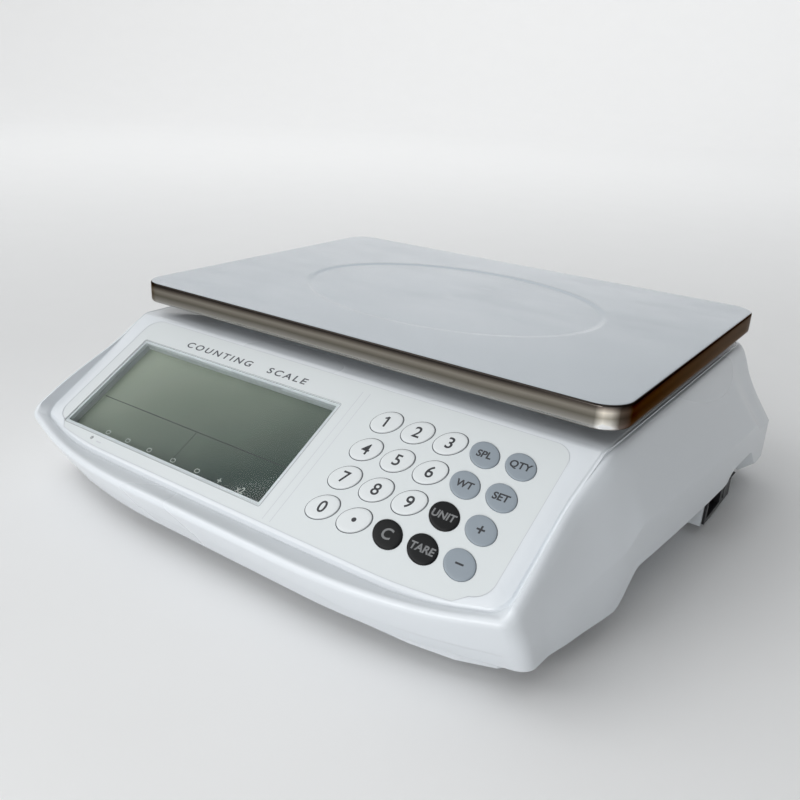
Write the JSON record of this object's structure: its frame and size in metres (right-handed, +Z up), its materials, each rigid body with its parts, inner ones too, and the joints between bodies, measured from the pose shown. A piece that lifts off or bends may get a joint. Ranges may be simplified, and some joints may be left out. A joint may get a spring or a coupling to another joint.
{
  "type": "counting scale",
  "caption": "Bench counting scale: sloped console with display and keypad, stainless lift-off pan on a single-point load cell, levelling feet and a mains inlet.",
  "frame": {"origin": "on the floor under the centre of the bounding box", "axes": "+X to the operator's right, +Y from the console towards the rear, +Z up"},
  "size_m": [0.3448, 0.3096, 0.102],
  "materials": {
    "white_abs": "moulded ABS, glossy white",
    "light_abs": "moulded ABS, fine texture",
    "overlay": "printed polyester film, satin",
    "window_acrylic": "clear acrylic",
    "white_abs_inner": "moulded ABS",
    "lcd": "grey-green liquid crystal glass",
    "backlight": "light guide in a white case",
    "circuit_board": "green solder mask",
    "led": "tinted lens, unlit",
    "switch_metal": "tact switch shells",
    "component_black": "black epoxy packages",
    "battery_case": "black ABS battery case",
    "zinc_steel": "zinc plated strap",
    "transformer_steel": "varnished laminations",
    "black_nylon": "black nylon",
    "level_fluid": "level vial, green fluid",
    "cell_aluminium": "milled aluminium",
    "fastener_steel": "zinc plated steel",
    "cable_sheath": "grey PVC sheath",
    "brass_insert": "turned brass",
    "support_plastic": "light grey moulded plastic",
    "pad_rubber": "black rubber",
    "pan_steel": "satin stainless steel with a polished rim",
    "key_white": "moulded white keys",
    "key_grey": "moulded grey keys",
    "key_black": "moulded black keys",
    "foot_rubber": "black rubber",
    "foot_nylon": "black moulded disc on a steel screw"
  },
  "bodies": {
    "base": {"upper_housing": "white_abs", "bottom_case": "light_abs", "overlay_film": "overlay", "display_window": "window_acrylic", "lcd_frame": "white_abs_inner", "lcd_glass": "lcd", "lcd_backlight": "backlight", "display_board": "circuit_board", "status_led": "led", "keypad_board": "circuit_board", "key_switches": "switch_metal", "main_board": "circuit_board", "board_components": "component_black", "battery": "battery_case", "battery_clamp": "zinc_steel", "battery_cover": "light_abs", "mains_transformer": "transformer_steel", "power_inlet": "black_nylon", "switch_housing": "black_nylon", "bubble_level": "level_fluid", "load_cell": "cell_aluminium", "load_cell_spacer": "cell_aluminium", "load_cell_bolts": "fastener_steel", "load_cell_cable": "cable_sheath", "overload_stops": "fastener_steel", "housing_screws": "fastener_steel", "foot_inserts": "brass_insert"},
    "platform": {"pan_support": "support_plastic", "support_bolts": "fastener_steel", "support_pads": "pad_rubber"},
    "pan": {"weighing_pan": "pan_steel"},
    "rocker": {"power_rocker": "black_nylon"},
    "key_0": {"key_0": "key_white"},
    "key_1": {"key_1": "key_white"},
    "key_2": {"key_2": "key_white"},
    "key_3": {"key_3": "key_white"},
    "key_4": {"key_4": "key_white"},
    "key_5": {"key_5": "key_white"},
    "key_6": {"key_6": "key_white"},
    "key_7": {"key_7": "key_white"},
    "key_8": {"key_8": "key_white"},
    "key_9": {"key_9": "key_white"},
    "key_dot": {"key_dot": "key_white"},
    "key_sample": {"key_sample": "key_grey"},
    "key_quantity": {"key_quantity": "key_grey"},
    "key_unit_weight": {"key_unit_weight": "key_grey"},
    "key_preset": {"key_preset": "key_grey"},
    "key_unit": {"key_unit": "key_black"},
    "key_memory_add": {"key_memory_add": "key_grey"},
    "key_clear": {"key_clear": "key_black"},
    "key_tare": {"key_tare": "key_black"},
    "key_memory_clear": {"key_memory_clear": "key_grey"},
    "foot_pad_front_left": {"foot_pad_front_left": "foot_rubber"},
    "foot_screw_front_left": {"foot_screw_front_left": "foot_nylon"},
    "foot_pad_front_right": {"foot_pad_front_right": "foot_rubber"},
    "foot_screw_front_right": {"foot_screw_front_right": "foot_nylon"},
    "foot_pad_rear_left": {"foot_pad_rear_left": "foot_rubber"},
    "foot_screw_rear_left": {"foot_screw_rear_left": "foot_nylon"},
    "foot_pad_rear_right": {"foot_pad_rear_right": "foot_rubber"},
    "foot_screw_rear_right": {"foot_screw_rear_right": "foot_nylon"}
  },
  "joints": [
    {"name": "weigh_travel", "type": "slide", "parent": "base", "child": "platform", "axis": [0, 0, 1], "range_m": [-0.0005, 0], "stiffness_N_per_m": 60000, "springref_m": 0.0006, "deforming": ["load_cell"]},
    {"name": "pan_lift", "type": "slide", "parent": "platform", "child": "pan", "axis": [0, 0, 1], "range_m": [0, 0.06]},
    {"name": "power_switch", "type": "hinge", "parent": "base", "child": "rocker", "pos_m": [0.1638, 0.0898, 0.0158], "axis": [0, -1, 0], "range_deg": [0, 16]},
    {"name": "key_0_press", "type": "slide", "parent": "base", "child": "key_0", "axis": [0, -0.4912, 0.871], "range_m": [-0.0005, 0], "stiffness_N_per_m": 400, "springref_m": 0.001},
    {"name": "key_1_press", "type": "slide", "parent": "base", "child": "key_1", "axis": [0, -0.4912, 0.871], "range_m": [-0.0005, 0], "stiffness_N_per_m": 400, "springref_m": 0.001},
    {"name": "key_2_press", "type": "slide", "parent": "base", "child": "key_2", "axis": [0, -0.4912, 0.871], "range_m": [-0.0005, 0], "stiffness_N_per_m": 400, "springref_m": 0.001},
    {"name": "key_3_press", "type": "slide", "parent": "base", "child": "key_3", "axis": [0, -0.4912, 0.871], "range_m": [-0.0005, 0], "stiffness_N_per_m": 400, "springref_m": 0.001},
    {"name": "key_4_press", "type": "slide", "parent": "base", "child": "key_4", "axis": [0, -0.4912, 0.871], "range_m": [-0.0005, 0], "stiffness_N_per_m": 400, "springref_m": 0.001},
    {"name": "key_5_press", "type": "slide", "parent": "base", "child": "key_5", "axis": [0, -0.4912, 0.871], "range_m": [-0.0005, 0], "stiffness_N_per_m": 400, "springref_m": 0.001},
    {"name": "key_6_press", "type": "slide", "parent": "base", "child": "key_6", "axis": [0, -0.4912, 0.871], "range_m": [-0.0005, 0], "stiffness_N_per_m": 400, "springref_m": 0.001},
    {"name": "key_7_press", "type": "slide", "parent": "base", "child": "key_7", "axis": [0, -0.4912, 0.871], "range_m": [-0.0005, 0], "stiffness_N_per_m": 400, "springref_m": 0.001},
    {"name": "key_8_press", "type": "slide", "parent": "base", "child": "key_8", "axis": [0, -0.4912, 0.871], "range_m": [-0.0005, 0], "stiffness_N_per_m": 400, "springref_m": 0.001},
    {"name": "key_9_press", "type": "slide", "parent": "base", "child": "key_9", "axis": [0, -0.4912, 0.871], "range_m": [-0.0005, 0], "stiffness_N_per_m": 400, "springref_m": 0.001},
    {"name": "key_dot_press", "type": "slide", "parent": "base", "child": "key_dot", "axis": [0, -0.4912, 0.871], "range_m": [-0.0005, 0], "stiffness_N_per_m": 400, "springref_m": 0.001},
    {"name": "key_sample_press", "type": "slide", "parent": "base", "child": "key_sample", "axis": [0, -0.4912, 0.871], "range_m": [-0.0005, 0], "stiffness_N_per_m": 400, "springref_m": 0.001},
    {"name": "key_quantity_press", "type": "slide", "parent": "base", "child": "key_quantity", "axis": [0, -0.4912, 0.871], "range_m": [-0.0005, 0], "stiffness_N_per_m": 400, "springref_m": 0.001},
    {"name": "key_unit_weight_press", "type": "slide", "parent": "base", "child": "key_unit_weight", "axis": [0, -0.4912, 0.871], "range_m": [-0.0005, 0], "stiffness_N_per_m": 400, "springref_m": 0.001},
    {"name": "key_preset_press", "type": "slide", "parent": "base", "child": "key_preset", "axis": [0, -0.4912, 0.871], "range_m": [-0.0005, 0], "stiffness_N_per_m": 400, "springref_m": 0.001},
    {"name": "key_unit_press", "type": "slide", "parent": "base", "child": "key_unit", "axis": [0, -0.4912, 0.871], "range_m": [-0.0005, 0], "stiffness_N_per_m": 400, "springref_m": 0.001},
    {"name": "key_memory_add_press", "type": "slide", "parent": "base", "child": "key_memory_add", "axis": [0, -0.4912, 0.871], "range_m": [-0.0005, 0], "stiffness_N_per_m": 400, "springref_m": 0.001},
    {"name": "key_clear_press", "type": "slide", "parent": "base", "child": "key_clear", "axis": [0, -0.4912, 0.871], "range_m": [-0.0005, 0], "stiffness_N_per_m": 400, "springref_m": 0.001},
    {"name": "key_tare_press", "type": "slide", "parent": "base", "child": "key_tare", "axis": [0, -0.4912, 0.871], "range_m": [-0.0005, 0], "stiffness_N_per_m": 400, "springref_m": 0.001},
    {"name": "key_memory_clear_press", "type": "slide", "parent": "base", "child": "key_memory_clear", "axis": [0, -0.4912, 0.871], "range_m": [-0.0005, 0], "stiffness_N_per_m": 400, "springref_m": 0.001},
    {"name": "foot_front_left_height", "type": "slide", "parent": "base", "child": "foot_pad_front_left", "axis": [0, 0, -1], "range_m": [0, 0.005]},
    {"name": "foot_front_left_turn", "type": "hinge", "parent": "foot_pad_front_left", "child": "foot_screw_front_left", "pos_m": [-0.118, -0.09, 0.01], "axis": [0, 0, -1], "range_deg": [0, 1800]},
    {"name": "foot_front_right_height", "type": "slide", "parent": "base", "child": "foot_pad_front_right", "axis": [0, 0, -1], "range_m": [0, 0.005]},
    {"name": "foot_front_right_turn", "type": "hinge", "parent": "foot_pad_front_right", "child": "foot_screw_front_right", "pos_m": [0.118, -0.09, 0.01], "axis": [0, 0, -1], "range_deg": [0, 1800]},
    {"name": "foot_rear_left_height", "type": "slide", "parent": "base", "child": "foot_pad_rear_left", "axis": [0, 0, -1], "range_m": [0, 0.005]},
    {"name": "foot_rear_left_turn", "type": "hinge", "parent": "foot_pad_rear_left", "child": "foot_screw_rear_left", "pos_m": [-0.125, 0.125, 0.01], "axis": [0, 0, -1], "range_deg": [0, 1800]},
    {"name": "foot_rear_right_height", "type": "slide", "parent": "base", "child": "foot_pad_rear_right", "axis": [0, 0, -1], "range_m": [0, 0.005]},
    {"name": "foot_rear_right_turn", "type": "hinge", "parent": "foot_pad_rear_right", "child": "foot_screw_rear_right", "pos_m": [0.125, 0.125, 0.01], "axis": [0, 0, -1], "range_deg": [0, 1800]}
  ],
  "couplings": [
    {"joint": "foot_front_left_turn", "follows": "foot_front_left_height", "rad_per_m": 6283.2},
    {"joint": "foot_front_right_turn", "follows": "foot_front_right_height", "rad_per_m": 6283.2},
    {"joint": "foot_rear_left_turn", "follows": "foot_rear_left_height", "rad_per_m": 6283.2},
    {"joint": "foot_rear_right_turn", "follows": "foot_rear_right_height", "rad_per_m": 6283.2}
  ]
}
